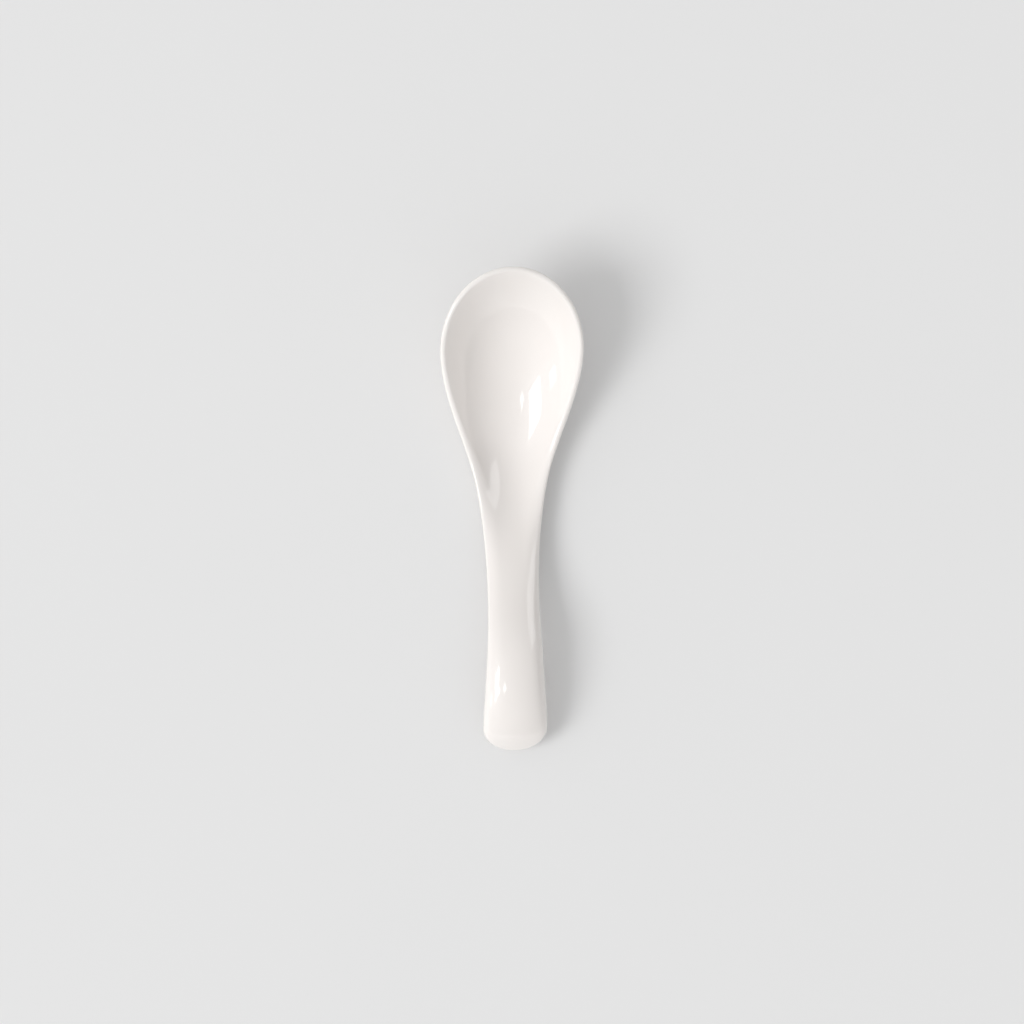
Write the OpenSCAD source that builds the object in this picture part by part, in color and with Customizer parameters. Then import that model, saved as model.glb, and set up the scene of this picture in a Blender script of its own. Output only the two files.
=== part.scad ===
// Chinese soup spoon in glazed white porcelain.
// It is cast and fired as one piece, so the model is one node: an egg-shaped bowl, a narrow neck
// and an arched handle whose flared end turns down to the table.
// The frame: origin on the table under the middle of the spoon, +Y to the bowl's tip, +X to the
// right, +Z up. Heights are taken from the table, and places are measured back from the tip.

/* [Overall] */
// Length from the tip of the bowl to the end of the handle
spoon_l = 140; // [132:1:148]

/* [Bowl] */
// Width of the bowl where it is widest
bowl_w = 41.4; // [38:0.2:45]
// Distance from the tip back to the widest place
nose_l = 23.5; // [21:0.5:26]
// Distance from the tip back to the deepest place
deepest_from_tip = 54; // [50:1:58]
// Height of the tip, at the middle of its rounded rim
tip_h = 29.6; // [26:0.2:32]
// How much more steeply the wall climbs at the rim than on the floor
wall_steepness = 0.2; // [0:0.05:0.4]

/* [Handle] */
// Width of the handle at its waist
waist_w = 15; // [13:0.2:18]
// Distance from the handle's end forward to its waist
waist_from_end = 46; // [40:1:52]
// Width of the handle's flared end
end_w = 18.75; // [16.5:0.25:21]
// Length of the rounding at the handle's end
end_round_l = 6.5; // [6:0.5:9]
// Height of the edges at the neck, the lowest place behind the bowl
neck_h = 5.8; // [5.2:0.1:6.6]
// Distance from the tip back to the neck
neck_from_tip = 70; // [67:1:73]
// Height of the edges at the top of the handle's arch
arch_h = 13.9; // [11.9:0.2:16.3]
// Distance from the handle's end forward to the top of the arch
arch_from_end = 28; // [25:1:31]
// Height that the side edges would have fallen to at the very end of the handle
end_h = 2.4; // [1.6:0.2:3.6]
// Rise of the crown above the side edges, at the flared end
crown_h = 1.6; // [0.8:0.1:2.4]

/* [Wall] */
// Thickness of the rim, which is fully rounded
rim_t = 1.8; // [1.5:0.1:2.4]
// Thickness of the bowl's floor before the foot is ground flat
floor_t = 3.4; // [3:0.1:3.8]
// Thickness of the handle along its middle
handle_t = 4.7; // [4.1:0.1:5.5]
// Thickness of the handle's rounded edges
handle_edge_t = 3.2; // [2.6:0.1:3.8]

/* [Foot] */
// Depth ground off the underside, which leaves the flat foot
foot_cut = 0.7; // [0.5:0.05:0.9]

/* [Hidden] */
glaze_colour = "#f4eee8";

// Ribs round the bowl's nose, along one side and round the handle's end
nose_ribs = 14;
side_ribs = 34;
end_ribs = 7;
half_ribs = nose_ribs + side_ribs + end_ribs;
all_ribs = 2 * half_ribs;
// Rings from the middle line to the rim, and steps round the rim
skin_rings = 12;
rim_steps = 6;

// The middle surface of the wall ends half a wall inside the outline
bowl_half_w = (bowl_w - rim_t) / 2;
nose_half_l = nose_l - rim_t / 2;
waist_half_w = (waist_w - handle_edge_t) / 2;
end_half_w = (end_w - handle_edge_t) / 2;
end_half_l = end_round_l - handle_edge_t / 2;

// Places along the spoon, from the tip back
tip_s = rim_t / 2;
waist_s = spoon_l - waist_from_end;
arch_s = spoon_l - arch_from_end;
flare_s = spoon_l - end_round_l;
end_s = spoon_l - handle_edge_t / 2;

// Each row is a share of the way from one named place to the next, and a share of the way
// from the one named size to the other
narrowing_shares = [[0, 0], [0.122, 0.078], [0.252, 0.269], [0.381, 0.501], [0.511, 0.706],
    [0.64, 0.849], [0.77, 0.937], [1, 1]];
flaring_shares = [[0, 0], [0.3, 0.12], [0.6, 0.49], [0.85, 0.88], [1, 1]];
// The first row lies before the tip, so that the rim is already falling there
rim_fall_shares = [[-0.1, -0.098], [0, 0], [0.1, 0.1], [0.2, 0.213], [0.31, 0.355], [0.44, 0.55],
    [0.56, 0.737], [0.68, 0.884], [0.82, 0.962], [1, 1]];
arch_rise_shares = [[0, 0], [0.18, 0.052], [0.34, 0.173], [0.5, 0.352], [0.66, 0.597],
    [0.82, 0.867], [1, 1]];
// The last row lies past the handle's end, so that the edge is still falling there
end_fall_shares = [[0, 0], [0.25, 0.055], [0.5, 0.176], [0.75, 0.401], [1, 1], [1.1, 1.414]];
// Places as shares of the spoon's length, and the hollow or the crown there as a share of its size
hollow_shares = [[0.02, 0.94], [0.06, 0.98], [0.11, 1], [0.17, 0.98], [0.23, 0.96], [0.3, 0.94],
    [0.35, 1.01], [0.39, 1.17], [0.42, 1.24], [0.45, 1.23], [0.49, 1.09], [0.53, 0.86],
    [0.58, 0.58], [0.64, 0.34], [0.7, 0]];
crown_shares = [[0.36, 0], [0.47, 0.109], [0.56, 0.329], [0.65, 0.452], [0.74, 0.381],
    [0.81, 0.61], [0.87, 0.925], [0.93, 0.945], [1, 0.849]];
// Where the wall starts and stops growing from the rim's thickness to the handle's
thickening_shares = [[0.25, 0], [0.55, 0.8], [0.7, 1]];

// Slope of a smooth curve at one of its rows; the curve is level at both ends
function slope_at(rows, i) =
    i == 0 || i == len(rows) - 1 ? 0 :
    let (
        before = rows[i][0] - rows[i - 1][0],
        after = rows[i + 1][0] - rows[i][0],
        rise_before = (rows[i][1] - rows[i - 1][1]) / before,
        rise_after = (rows[i + 1][1] - rows[i][1]) / after
    )
    (rise_before * after + rise_after * before) / (before + after);

function row_before(rows, x, i = 0) =
    i >= len(rows) - 2 || x < rows[i + 1][0] ? i : row_before(rows, x, i + 1);

// Value of the smooth curve through the rows at x, held level past both ends
function along(rows, x) =
    x <= rows[0][0] ? rows[0][1] :
    x >= rows[len(rows) - 1][0] ? rows[len(rows) - 1][1] :
    let (
        i = row_before(rows, x),
        w = rows[i + 1][0] - rows[i][0],
        t = (x - rows[i][0]) / w
    )
    rows[i][1] * (1 + 2 * t) * pow(1 - t, 2) + rows[i + 1][1] * pow(t, 2) * (3 - 2 * t)
        + w * t * (1 - t) * (slope_at(rows, i) * (1 - t) - slope_at(rows, i + 1) * t);

// A size that goes from one value to another between two places
function between(from_value, to_value, from_s, to_s, shares, s) =
    from_value + (to_value - from_value) * along(shares, (s - from_s) / (to_s - from_s));

// Half width of the wall's middle surface at a place behind the nose
function side_half_w(s) =
    s < waist_s ? between(bowl_half_w, waist_half_w, nose_l, waist_s, narrowing_shares, s)
        : between(waist_half_w, end_half_w, waist_s, flare_s, flaring_shares, s);

// Square of the half width anywhere: rounded nose, sides, rounded end
function half_w_squared(s) =
    s < nose_l ? pow(bowl_half_w, 2) * (1 - pow((nose_l - s) / nose_half_l, 2)) :
    s > flare_s ? pow(end_half_w, 2) * (1 - pow((s - flare_s) / end_half_l, 2)) :
    pow(side_half_w(s), 2);

// Height of the edge line: it falls from the tip to the neck, climbs to the arch and falls again
function edge_h(s) =
    s < neck_from_tip ? between(tip_h, neck_h, tip_s, neck_from_tip, rim_fall_shares, s) :
    s < arch_s ? between(neck_h, arch_h, neck_from_tip, arch_s, arch_rise_shares, s) :
    between(arch_h, end_h, arch_s, end_s, end_fall_shares, s);

// How deep the wall lies below the edge line, as a share, where inset runs from 0 at the edge
// to 1 in the middle of the widest place
function hollow(inset) = (1 + wall_steepness) * inset - wall_steepness * pow(inset, 2);
function inset_at(x, s) = (half_w_squared(s) - pow(x, 2)) / pow(bowl_half_w, 2);

// The bowl is as deep as its floor allows when the foot is ground flat
floor_h = floor_t / 2 - foot_cut;
hollow_depth = (edge_h(deepest_from_tip) - floor_h) / hollow(inset_at(0, deepest_from_tip))
    / along(hollow_shares, deepest_from_tip / spoon_l);

// The crown is flat along the middle and rolls down near the side edges
function crown(x, s) = 1 - pow(x / side_half_w(min(max(s, nose_l), flare_s)), 4);

// Height of the wall's middle surface
function mid_h(x, s) =
    edge_h(s)
        - hollow_depth * along(hollow_shares, s / spoon_l) * hollow(inset_at(x, s))
        + crown_h * along(crown_shares, s / spoon_l) * crown(x, s);

// Thickness of the wall: the rim or edge thickness outside, the floor or handle thickness inside
function wall_t(s, outward) =
    let (
        thick = along(thickening_shares, s / spoon_l),
        edge_t = rim_t + (handle_edge_t - rim_t) * thick,
        middle_t = floor_t + (handle_t - floor_t) * thick
    )
    edge_t + (middle_t - edge_t) * pow(1 - pow(outward, 2), 2);

// Rib i starts on the middle line and ends at the edge of the middle surface, as [x, s]
function side_of(i) = i > half_ribs ? -1 : 1;
function folded(i) = i > half_ribs ? all_ribs - i : i;
function edge_point(j) =
    j < nose_ribs ?
        let (a = 90 * j / nose_ribs) [bowl_half_w * sin(a), nose_l - nose_half_l * cos(a)] :
    j > nose_ribs + side_ribs ?
        let (a = 90 * (j - nose_ribs - side_ribs) / end_ribs)
            [end_half_w * cos(a), flare_s + end_half_l * sin(a)] :
    let (s = spine_s(j)) [side_half_w(s), s];
function spine_step(j) = min(max(j - nose_ribs, 0), side_ribs);
function spine_s(j) = nose_l + (flare_s - nose_l) * spine_step(j) / side_ribs;
function rib_point(i, outward) =
    let (j = folded(i), edge = edge_point(j), s = spine_s(j))
    [side_of(i) * edge.x * outward, s + (edge.y - s) * outward];

// A point of the middle surface, and the directions square to the wall and out along the rib
function lifted(p) = [p.x, spoon_l / 2 - p.y, mid_h(p.x, p.y)];
probe = rim_t / 50;
function upward(p) =
    let (
        across = lifted(p + [probe, 0]) - lifted(p - [probe, 0]),
        forward = lifted(p - [0, probe]) - lifted(p + [0, probe]),
        n = cross(across, forward)
    )
    n / norm(n);
function outward_at(i) =
    let (d = lifted(rib_point(i, 1)) - lifted(rib_point(i, 1 - probe / end_half_l)))
    d / norm(d);

function skin_point(p, outward, face) =
    lifted(p) + upward(p) * face * wall_t(p.y, outward) / 2;
function rim_point(i, turn) =
    let (p = rib_point(i, 1))
    lifted(p) + (upward(p) * cos(turn) + outward_at(i) * sin(turn)) * wall_t(p.y, 1) / 2;

// Rings lie closer together towards the rim
function ring_share(k) = sin(90 * k / skin_rings);

function skin_ring(k, face) =
    [for (i = [0 : all_ribs - 1])
        let (outward = ring_share(k)) skin_point(rib_point(i, outward), outward, face)];
function spine(face) =
    [for (j = [nose_ribs : nose_ribs + side_ribs]) skin_point([0, spine_s(j)], 0, face)];

rings = [
    for (k = [1 : skin_rings]) skin_ring(k, 1),
    for (k = [1 : rim_steps - 1]) [for (i = [0 : all_ribs - 1]) rim_point(i, 180 * k / rim_steps)],
    for (k = [skin_rings : -1 : 1]) skin_ring(k, -1)
];
ring_points = [for (ring = rings) for (p = ring) p];
top_spine_start = len(ring_points);
under_spine_start = top_spine_start + side_ribs + 1;
last_ring_start = (len(rings) - 1) * all_ribs;

function next(i) = (i + 1) % all_ribs;
wall_faces = [
    for (k = [0 : len(rings) - 2]) for (i = [0 : all_ribs - 1])
        let (a = k * all_ribs, b = a + all_ribs)
            each [[a + i, b + i, b + next(i)], [a + i, b + next(i), a + next(i)]]
];
// The first ring of each skin closes on the middle line: triangles round the two ends of the
// line and pairs of triangles along it
function closing(i, ring_start, spine_start, flip) =
    let (
        a = ring_start + i,
        b = ring_start + next(i),
        c = spine_start + spine_step(folded(i)),
        d = spine_start + spine_step(folded(next(i))),
        faces = c == d ? [[a, b, c]] : [[a, b, d], [a, d, c]]
    )
    [for (f = faces) flip ? [f[0], f[2], f[1]] : f];
closing_faces = [
    for (i = [0 : all_ribs - 1])
        each concat(
            closing(i, 0, top_spine_start, false),
            closing(i, last_ring_start, under_spine_start, true))
];

module spoon() {
    color(glaze_colour)
        intersection() {
            polyhedron(
                points = concat(ring_points, spine(1), spine(-1)),
                faces = concat(wall_faces, closing_faces),
                convexity = 6);
            above_table();
        }
}

// Everything above the table: its bottom face grinds the foot flat
module above_table() {
    translate([-bowl_w, -spoon_l, 0]) cube([2 * bowl_w, 2 * spoon_l, 2 * tip_h]);
}

spoon();
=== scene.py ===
from math import atan, pi, radians, sin, cos, sqrt

import bmesh
import bpy
from mathutils import Matrix, Vector


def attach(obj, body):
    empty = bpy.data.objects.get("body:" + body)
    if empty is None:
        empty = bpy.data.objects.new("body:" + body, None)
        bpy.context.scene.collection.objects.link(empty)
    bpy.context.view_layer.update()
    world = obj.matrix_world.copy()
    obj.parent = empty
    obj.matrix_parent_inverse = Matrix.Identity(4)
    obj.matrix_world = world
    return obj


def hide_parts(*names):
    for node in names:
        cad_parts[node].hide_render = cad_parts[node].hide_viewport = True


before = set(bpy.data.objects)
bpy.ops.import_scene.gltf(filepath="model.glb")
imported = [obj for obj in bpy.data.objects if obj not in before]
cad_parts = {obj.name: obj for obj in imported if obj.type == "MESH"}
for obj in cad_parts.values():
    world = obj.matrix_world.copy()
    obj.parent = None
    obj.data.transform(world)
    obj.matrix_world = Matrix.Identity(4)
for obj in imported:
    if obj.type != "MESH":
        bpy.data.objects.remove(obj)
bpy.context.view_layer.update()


# THE WALL
# The whole spoon is one wall of white porcelain, slip-cast in a plaster mould: an egg-shaped bowl,
# a narrow neck and an arched handle. It starts here as the middle sheet of that wall, with ribs
# from the middle line out to the edge, round the nose and round the handle's end.
mm = 0.001
spoon_l = 140 * mm
bowl_half_w = 20.82 * mm
nose_l = 23.5 * mm
end_half_w = 9.38 * mm
end_round_l = 6.5 * mm
end_round_s = spoon_l - end_round_l
wall_steepness = 0.19
thickest = 4.8 * mm

# Each row below gives a distance back from the tip and what holds there.
# Half width of the outline
outline_mm = [(23.5, 20.81), (32, 19.8), (41, 17.3), (50, 14.28), (59, 11.6), (68, 9.66),
              (77, 8.38), (86, 7.68), (95, 7.48), (105, 7.7), (115, 8.24), (124, 8.9), (133.5, 9.38)]
# Height of the edge line
edge_line_mm = [(0, 31.11), (12, 27.26), (24, 22.15), (36, 15.54), (48, 9.86), (60, 7.82),
                (72, 7.09), (84, 7.95), (96, 10.54), (108, 14.03), (118, 14.1), (128, 11.8),
                (134, 8.3), (140, 1.4)]
# How strongly the wall is hollowed, or crowned where it is below zero
hollow_mm = [(0, 13.92), (12, 15.48), (24, 15.22), (36, 14.76), (48, 15.4), (60, 19.07),
             (72, 14.44), (84, 5.66), (96, 0.32), (108, -1.71), (124, -3.64), (140, -3.74)]
# How far the sheet rolls down towards its sides, on top of that
roll_mm = [(0, 0.0), (40, 0.37), (56, 0.19), (72, 0.71), (84, 1.12), (96, 1.13), (108, 1.39),
           (124, 2.26), (140, 1.2)]
# Thickness in the middle and at the edge
middle_t_mm = [(0, 3.2), (24, 3.4), (50, 3.7), (75, 4.4), (100, 4.7), (140, 4.6)]
edge_t_mm = [(0, 1.8), (24, 1.8), (40, 2.1), (50, 2.4), (66, 3.0), (80, 3.3), (100, 3.3), (140, 3.2)]
# How far in from the outline the edge starts to round over
rounding_mm = [(0, 0.9), (30, 1.0), (44, 1.4), (58, 2.8), (70, 3.6), (90, 3.8), (122, 3.6), (140, 1.5)]


def smooth_curve(rows, level_ends=False):
    """A curve through the rows with no kink in its slope or its bend."""
    xs, ys = [r[0] * mm for r in rows], [r[1] * mm for r in rows]
    n = len(xs)
    gap = [xs[i + 1] - xs[i] for i in range(n - 1)]
    rise = [(ys[i + 1] - ys[i]) / gap[i] for i in range(n - 1)]
    # One equation a row gives the bends, and both ends are straight unless they are level
    low, mid, high, right = [0.0] * n, [1.0] * n, [0.0] * n, [0.0] * n
    for i in range(1, n - 1):
        low[i], mid[i], high[i] = gap[i - 1], 2 * (gap[i - 1] + gap[i]), gap[i]
        right[i] = 6 * (rise[i] - rise[i - 1])
    if level_ends:
        mid[0], high[0], right[0] = 2 * gap[0], gap[0], 6 * rise[0]
        low[-1], mid[-1], right[-1] = gap[-1], 2 * gap[-1], -6 * rise[-1]
    for i in range(1, n):
        carried = low[i] / mid[i - 1]
        mid[i] -= carried * high[i - 1]
        right[i] -= carried * right[i - 1]
    bend = [0.0] * n
    bend[-1] = right[-1] / mid[-1]
    for i in range(n - 2, -1, -1):
        bend[i] = (right[i] - high[i] * bend[i + 1]) / mid[i]

    def at(x):
        i = 0
        while i < n - 2 and x > xs[i + 1]:
            i += 1
        a, b, h = xs[i + 1] - x, x - xs[i], gap[i]
        return ((bend[i] * a ** 3 + bend[i + 1] * b ** 3) / (6 * h)
                + (ys[i] / h - bend[i] * h / 6) * a + (ys[i + 1] / h - bend[i + 1] * h / 6) * b)
    return at


side_half_w = smooth_curve(outline_mm, level_ends=True)
edge_line = smooth_curve(edge_line_mm)
hollow = smooth_curve(hollow_mm)
roll = smooth_curve(roll_mm)
middle_t = smooth_curve(middle_t_mm)
edge_t = smooth_curve(edge_t_mm)
rounding = smooth_curve(rounding_mm)


def half_width(s):
    """Half width of the outline, with an ellipse for the nose and another for the handle's end."""
    if s < nose_l:
        return bowl_half_w * sqrt(max(0, 1 - ((nose_l - s) / nose_l) ** 2))
    if s > end_round_s:
        return end_half_w * sqrt(max(0, 1 - ((s - end_round_s) / end_round_l) ** 2))
    return side_half_w(s)


def sheet_point(x, s):
    """The place of the wall's middle sheet, x to the side and s back from the tip."""
    inset = (half_width(s) ** 2 - x ** 2) / bowl_half_w ** 2
    z = edge_line(s) - hollow(s) * ((1 + wall_steepness) * inset - wall_steepness * inset ** 2)
    z -= roll(s) * (x / side_half_w(min(max(s, nose_l), end_round_s))) ** 4
    return Vector((x, spoon_l / 2 - s, z))


nose_ribs, side_ribs, end_ribs = 30, 92, 16
ribs_a_side = nose_ribs + side_ribs + end_ribs


def rib(place):
    """Outer end (x, s) and inner s of one rib, where place runs once round the spoon."""
    side = 1
    if place > ribs_a_side:
        place, side = 2 * ribs_a_side - place, -1
    if place < nose_ribs:
        turn = pi / 2 * place / nose_ribs
        return (side * bowl_half_w * sin(turn), nose_l - nose_l * cos(turn)), nose_l
    if place > nose_ribs + side_ribs:
        turn = pi / 2 * (place - nose_ribs - side_ribs) / end_ribs
        return (side * end_half_w * cos(turn), end_round_s + end_round_l * sin(turn)), end_round_s
    s = nose_l + (end_round_s - nose_l) * (place - nose_ribs) / side_ribs
    return (side * side_half_w(s), s), s


# How far apart the two points are that give the slope of the sheet
slope_step = 0.1 * mm


def lip_share(x, s, spine_s, turn):
    """How far out along a rib the sheet lies under the rounded edge, which ends at (x, s)."""
    reach = Vector((x, s - spine_s))
    out = reach.normalized()
    at = reach - out * rounding(s)
    inner = at - out * slope_step
    climb = (sheet_point(at.x, spine_s + at.y) - sheet_point(inner.x, spine_s + inner.y)).normalized()
    return (at.length + rounding(s) * climb.xy.length * sin(turn)) / reach.length


sheet_rings, lip_rings = 16, 10
# How far the sheet's rings crowd together towards the edge, in radians of a sine
ring_crowding = 1.2
# How narrow the band is along the edge in which the glaze runs thin and a highlight is painted lighter
lip_narrowness = 12
weld_gap = 0.01 * mm

# A flat grid is laid over the sheet: its length goes once round the spoon, and its width goes
# from the middle line out to the edge
bpy.ops.object.select_all(action="DESELECT")
all_ribs = 2 * ribs_a_side
all_rings = sheet_rings + lip_rings
bpy.ops.mesh.primitive_grid_add(x_subdivisions=all_ribs, y_subdivisions=all_rings, size=1)
spoon = bpy.context.object
spoon.name = spoon.data.name = "porcelain_spoon"
wall = spoon.vertex_groups.new(name="wall")
lip_shares = []
for vertex in spoon.data.vertices:
    place = round((vertex.co.x + 0.5) * all_ribs) % all_ribs
    ring = round((vertex.co.y + 0.5) * all_rings)
    (x, s), spine_s = rib(place)
    turn = pi / 2 * max(0, ring - sheet_rings) / lip_rings
    inward = sin(ring_crowding * min(1, ring / sheet_rings)) / sin(ring_crowding)
    share = lip_share(x, s, spine_s, turn) * inward
    point_s = spine_s + (s - spine_s) * share
    vertex.co = sheet_point(x * share, point_s)
    thick = edge_t(point_s) + (middle_t(point_s) - edge_t(point_s)) * (1 - share ** 2) ** 2
    wall.add([vertex.index], thick * cos(turn) / thickest, "REPLACE")
    lip_shares.append(share ** lip_narrowness)
spoon.data.attributes.new("lip", "FLOAT", "POINT").data.foreach_set("value", lip_shares)

bpy.ops.object.mode_set(mode="EDIT")
bpy.ops.mesh.select_all(action="SELECT")
bpy.ops.mesh.remove_doubles(threshold=weld_gap)
bpy.ops.mesh.normals_make_consistent(inside=False)
bpy.ops.object.mode_set(mode="OBJECT")
if sum(face.normal.z for face in spoon.data.polygons) < 0:
    spoon.data.flip_normals()

# The wall thins to nothing along its edge in the arc of an ellipse, so the edge comes out round
fine_gap = 0.001 * mm
thicken = spoon.modifiers.new("wall thickness", "SOLIDIFY")
thicken.thickness = thickest
thicken.offset = 0
thicken.vertex_group = "wall"
bpy.ops.object.modifier_apply(modifier=thicken.name)
bpy.ops.object.mode_set(mode="EDIT")
bpy.ops.mesh.select_all(action="SELECT")
bpy.ops.mesh.remove_doubles(threshold=fine_gap)
bpy.ops.object.mode_set(mode="OBJECT")

# The foot is ground flat on the underside after the glaze firing, so it stands on the table,
# and its rim is left sharp
straight_down = -0.999
foot_h = 0.01 * mm
bpy.ops.object.mode_set(mode="EDIT")
bpy.ops.mesh.select_all(action="SELECT")
bpy.ops.mesh.bisect(plane_co=(0, 0, 0), plane_no=(0, 0, 1), use_fill=True, clear_inner=True,
                    threshold=fine_gap)
bpy.ops.object.mode_set(mode="OBJECT")
bpy.ops.object.shade_smooth()
shaped = bmesh.new()
shaped.from_mesh(spoon.data)
for face in shaped.faces:
    if face.normal.z < straight_down and face.calc_center_median().z < foot_h:
        for edge in face.edges:
            edge.smooth = False
shaped.to_mesh(spoon.data)
shaped.free()

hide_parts("spoon")
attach(spoon, "root")


# THE GLAZE
# A clear, slightly warm feldspar glaze lies over the whole wall and was melted to a mirror gloss.
# It settles a little unevenly, runs thin on the rounded edge, where the colour is also made lighter
# as a painted highlight, and is ground off the foot, where the matt biscuit shows. The bowl's colour
# is painted whiter towards its middle, a painted pool of light.
thinner_white = (0.855, 0.815, 0.786, 1)
fuller_white = (0.867, 0.827, 0.798, 1)
# Painted light: a whiter colour for the middle of the bowl, standing in for the brighter light there
bowl_painted_light_white = (0.918, 0.876, 0.846, 1)
thin_glaze_and_highlight_white = (0.87, 0.845, 0.82, 1)
biscuit = (0.74, 0.68, 0.60, 1)


def blend(tree, share, under, over):
    """The colour between under and over, each a colour or the output that gives it."""
    mix = tree.nodes.new("ShaderNodeMix")
    mix.data_type = "RGBA"
    tree.links.new(share, mix.inputs["Factor"])
    for socket, colour in (("A", under), ("B", over)):
        if isinstance(colour, tuple):
            mix.inputs[socket].default_value = colour
        else:
            tree.links.new(colour, mix.inputs[socket])
    return mix.outputs["Result"]


glaze = bpy.data.materials.new("warm white glaze")
glaze.use_nodes = True
nodes, links = glaze.node_tree.nodes, glaze.node_tree.links
surface = nodes["Principled BSDF"]
surface.inputs["Coat Weight"].default_value = 1.0
surface.inputs["Coat Roughness"].default_value = 0.008
surface.inputs["Specular IOR Level"].default_value = 0.25
on_spoon = nodes.new("ShaderNodeTexCoord").outputs["Object"]

settling = nodes.new("ShaderNodeTexNoise")
settling.inputs["Scale"].default_value = 60
settling.inputs["Detail"].default_value = 2
links.new(on_spoon, settling.inputs["Vector"])
settled = blend(glaze.node_tree, settling.outputs["Fac"], thinner_white, fuller_white)

# Painted light: the colour is made whiter towards the middle of the bowl, a painted pool of the
# brighter light that falls inside it
painted_light_middle = (4 * mm, 36 * mm, 8 * mm)
painted_light_inner_r, painted_light_outer_r = 12 * mm, 38 * mm
from_painted_light = nodes.new("ShaderNodeVectorMath")
from_painted_light.operation = "DISTANCE"
from_painted_light.inputs[1].default_value = painted_light_middle
links.new(on_spoon, from_painted_light.inputs[0])
painted_light_share = nodes.new("ShaderNodeMapRange")
painted_light_share.interpolation_type = "SMOOTHSTEP"
painted_light_share.inputs["From Min"].default_value = painted_light_inner_r
painted_light_share.inputs["From Max"].default_value = painted_light_outer_r
painted_light_share.inputs["To Min"].default_value = 1.0
painted_light_share.inputs["To Max"].default_value = 0.0
links.new(from_painted_light.outputs["Value"], painted_light_share.inputs["Value"])
with_painted_light = blend(glaze.node_tree, painted_light_share.outputs["Result"], settled, bowl_painted_light_white)

# Partly thin glaze, partly a painted highlight: the rounded edge is made lighter where the glaze runs
# thin, and that lighter colour also stands in for the highlight along the edge
edge_share = nodes.new("ShaderNodeAttribute")
edge_share.attribute_name = "lip"
thin_glaze_and_highlight_share = nodes.new("ShaderNodeMath")
thin_glaze_and_highlight_share.operation = "MULTIPLY"
thin_glaze_and_highlight_share.inputs[1].default_value = 0.6
links.new(edge_share.outputs["Fac"], thin_glaze_and_highlight_share.inputs[0])
with_thin_glaze_and_highlight = blend(glaze.node_tree, thin_glaze_and_highlight_share.outputs["Value"], with_painted_light, thin_glaze_and_highlight_white)

height = nodes.new("ShaderNodeSeparateXYZ")
links.new(on_spoon, height.inputs["Vector"])
ground_off = nodes.new("ShaderNodeMath")
ground_off.operation = "LESS_THAN"
ground_off.inputs[1].default_value = 0.03 * mm
links.new(height.outputs["Z"], ground_off.inputs[0])
bared = blend(glaze.node_tree, ground_off.outputs["Value"], with_thin_glaze_and_highlight, biscuit)
links.new(bared, surface.inputs["Base Color"])

matt = nodes.new("ShaderNodeMapRange")
matt.inputs["To Min"].default_value = 0.35
matt.inputs["To Max"].default_value = 0.9
links.new(ground_off.outputs["Value"], matt.inputs["Value"])
links.new(matt.outputs["Result"], surface.inputs["Roughness"])
glossy = nodes.new("ShaderNodeMath")
glossy.operation = "SUBTRACT"
glossy.inputs[0].default_value = 1.0
links.new(ground_off.outputs["Value"], glossy.inputs[1])
links.new(glossy.outputs["Value"], surface.inputs["Coat Weight"])

# The melted surface isn't quite even, which makes the edges of its highlights wander
ripple_h = 0.006 * mm
ripple = nodes.new("ShaderNodeTexNoise")
ripple.inputs["Scale"].default_value = 110
ripple.inputs["Detail"].default_value = 1
links.new(on_spoon, ripple.inputs["Vector"])
relief = nodes.new("ShaderNodeBump")
relief.inputs["Strength"].default_value = 1.0
relief.inputs["Distance"].default_value = ripple_h
links.new(ripple.outputs["Fac"], relief.inputs["Height"])
links.new(relief.outputs["Normal"], surface.inputs["Normal"])
links.new(relief.outputs["Normal"], surface.inputs["Coat Normal"])
spoon.data.materials.clear()
spoon.data.materials.append(glaze)


# THE TABLE
# A plain pale grey sheet, matt and laid flat, that the spoon stands on. It takes the shadow and
# reaches far past the picture on every side.
table_w = 6
darker_grey = (0.774, 0.774, 0.774, 1)
lighter_grey = (0.786, 0.786, 0.786, 1)
bpy.ops.object.select_all(action="DESELECT")
bpy.ops.mesh.primitive_plane_add(size=table_w)
table = bpy.context.object
table.name = "table"
grey = bpy.data.materials.new("pale grey sheet")
grey.use_nodes = True
sheet = grey.node_tree.nodes["Principled BSDF"]
sheet.inputs["Roughness"].default_value = 0.9
sheet.inputs["Specular IOR Level"].default_value = 0.0
on_table = grey.node_tree.nodes.new("ShaderNodeTexCoord").outputs["Object"]
cloud = grey.node_tree.nodes.new("ShaderNodeTexNoise")
cloud.inputs["Scale"].default_value = 9
cloud.inputs["Detail"].default_value = 3
grey.node_tree.links.new(on_table, cloud.inputs["Vector"])
clouded = blend(grey.node_tree, cloud.outputs["Fac"], darker_grey, lighter_grey)
grey.node_tree.links.new(clouded, sheet.inputs["Base Color"])
table.data.materials.append(grey)


# THE LIGHT
# A large soft lamp stands on the left, halfway up, and the white room fills the rest. The glaze
# mirrors the lamp's bright face, two windows and a panel, and all of them face the spoon.
lamp_distance = 6.0


def aimed(azimuth, zenith, distance):
    """A place on the room's dome and the turn that faces the spoon from there."""
    out = Vector((-sin(zenith) * cos(azimuth), -sin(zenith) * sin(azimuth), cos(zenith)))
    across = Vector((0, 0, 1)).cross(out).normalized()
    turn = Matrix((across, out.cross(across), out)).transposed().to_4x4()
    return Matrix.Translation(out * distance) @ turn


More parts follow.
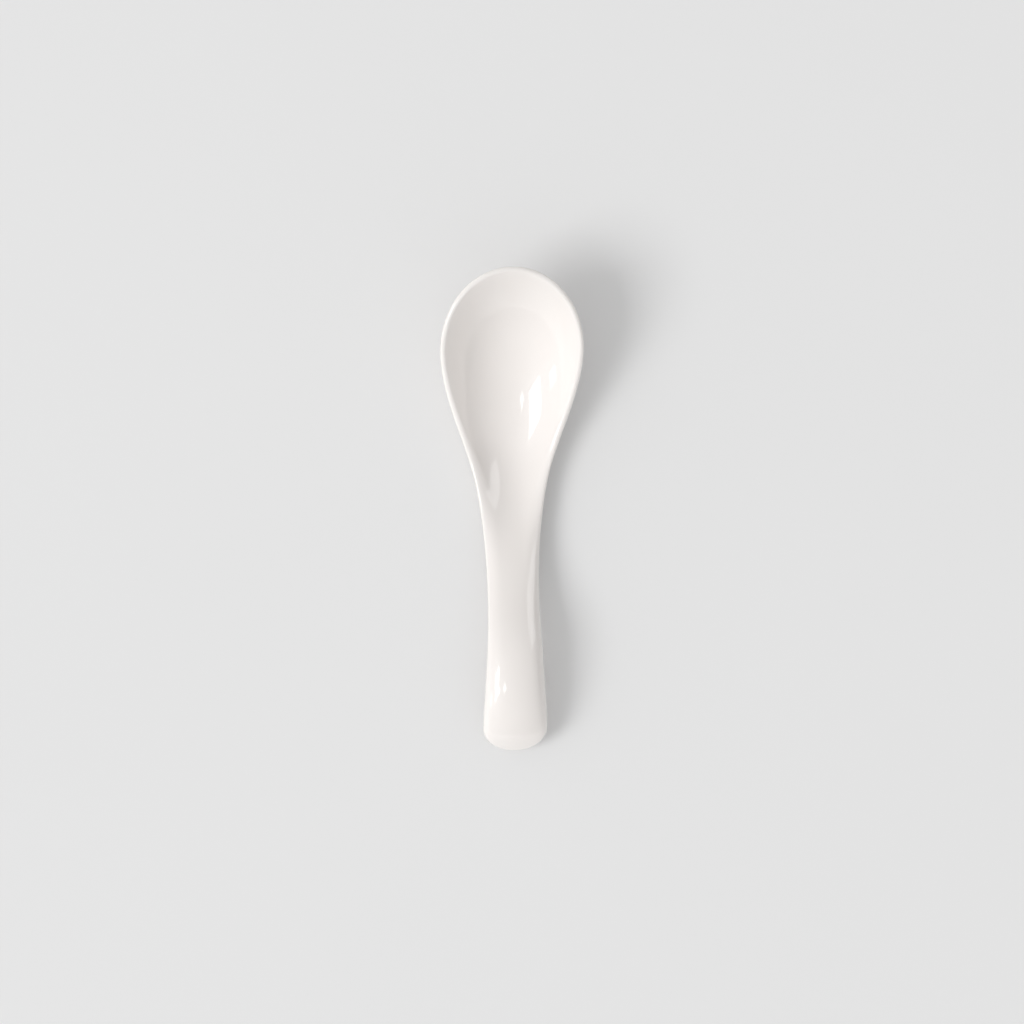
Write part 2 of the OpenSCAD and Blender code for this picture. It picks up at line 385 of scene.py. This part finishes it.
def lamp(name, azimuth, zenith, wide_share, high_share, brightness):
    """A flat lamp at two angles in degrees, with its sides as shares of its distance."""
    wide, high = wide_share * lamp_distance, high_share * lamp_distance
    light = bpy.data.lights.new(name, "AREA")
    light.shape = "RECTANGLE"
    light.size, light.size_y = wide, high
    light.energy = brightness * pi * wide * high
    holder = bpy.data.objects.new(name, light)
    bpy.context.scene.collection.objects.link(holder)
    holder.matrix_world = aimed(radians(azimuth), radians(zenith), lamp_distance)
    return holder


key = lamp("soft lamp", 17, 45, 0.45, 0.45, 6.72)
key.visible_glossy = False
for name, azimuth, zenith, wide_share, high_share, brightness in [
        ("lamp face", 21.2, 46.7, 0.30, 0.33, 8.0),
        ("upper window", 45.0, 27.4, 0.11, 0.11, 4.5),
        ("low window", 19.0, 75.5, 0.13, 0.155, 3.5),
        ("right panel", -147.4, 54.7, 0.52, 0.48, 2.0)]:
    face = lamp(name, azimuth, zenith, wide_share, high_share, brightness)
    face.visible_diffuse = False

# The room is a little brighter on the side of the lamp
room_level = 0.775
room_slope = (-0.22, -0.107, -0.099)
room = bpy.data.worlds.new("white room")
bpy.context.scene.world = room
room.use_nodes = True
sky, sky_links = room.node_tree.nodes, room.node_tree.links
air = sky["Background"]
air.inputs["Color"].default_value = (1, 1, 1, 1)
direction = sky.new("ShaderNodeTexCoord").outputs["Generated"]
slope = sky.new("ShaderNodeVectorMath")
slope.operation = "DOT_PRODUCT"
slope.inputs[1].default_value = room_slope
sky_links.new(direction, slope.inputs[0])
level = sky.new("ShaderNodeMath")
level.inputs[1].default_value = room_level
sky_links.new(slope.outputs["Value"], level.inputs[0])

# What the glaze mirrors is a dimmer ceiling above a bright band at the height of the table
band_level, ceiling_level = 1.0, 0.2
band_top, ceiling_bottom = 0.03, 0.04
ray = sky.new("ShaderNodeLightPath")
split = sky.new("ShaderNodeSeparateXYZ")
sky_links.new(direction, split.inputs[0])
band = sky.new("ShaderNodeMapRange")
band.inputs["From Min"].default_value = band_top
band.inputs["From Max"].default_value = ceiling_bottom
band.inputs["To Min"].default_value = band_level
band.inputs["To Max"].default_value = ceiling_level
sky_links.new(split.outputs["Z"], band.inputs["Value"])
mirrored = sky.new("ShaderNodeMix")
mirrored.inputs["A"].default_value = 1.0
sky_links.new(ray.outputs["Is Glossy Ray"], mirrored.inputs["Factor"])
sky_links.new(band.outputs["Result"], mirrored.inputs["B"])
seen = sky.new("ShaderNodeMath")
seen.operation = "MULTIPLY"
sky_links.new(level.outputs["Value"], seen.inputs[0])
sky_links.new(mirrored.outputs["Result"], seen.inputs[1])
sky_links.new(seen.outputs["Value"], air.inputs["Strength"])


# THE CAMERA
# It looks almost straight down from a metre above, a little from the left, and is turned
# by less than a degree.
eye_at = Vector((-0.0556, -0.00019, 1.0))
aim_at = Vector((0.00042, -0.00019, 0))
camera_turn = radians(-0.854)
picture_half_w = 0.15079
camera = bpy.data.cameras.new("camera")
camera.sensor_width = 36
camera.lens_unit = "FOV"
camera.angle = 2 * atan(picture_half_w / (eye_at - aim_at).length)
eye = bpy.data.objects.new("camera", camera)
bpy.context.scene.collection.objects.link(eye)
away = (eye_at - aim_at).normalized()
up = Vector((-sin(camera_turn), cos(camera_turn), 0))
right = up.cross(away).normalized()
eye.matrix_world = (Matrix.Translation(eye_at)
                    @ Matrix((right, away.cross(right), away)).transposed().to_4x4())
bpy.context.scene.camera = eye
bpy.context.scene.view_settings.view_transform = "Standard"
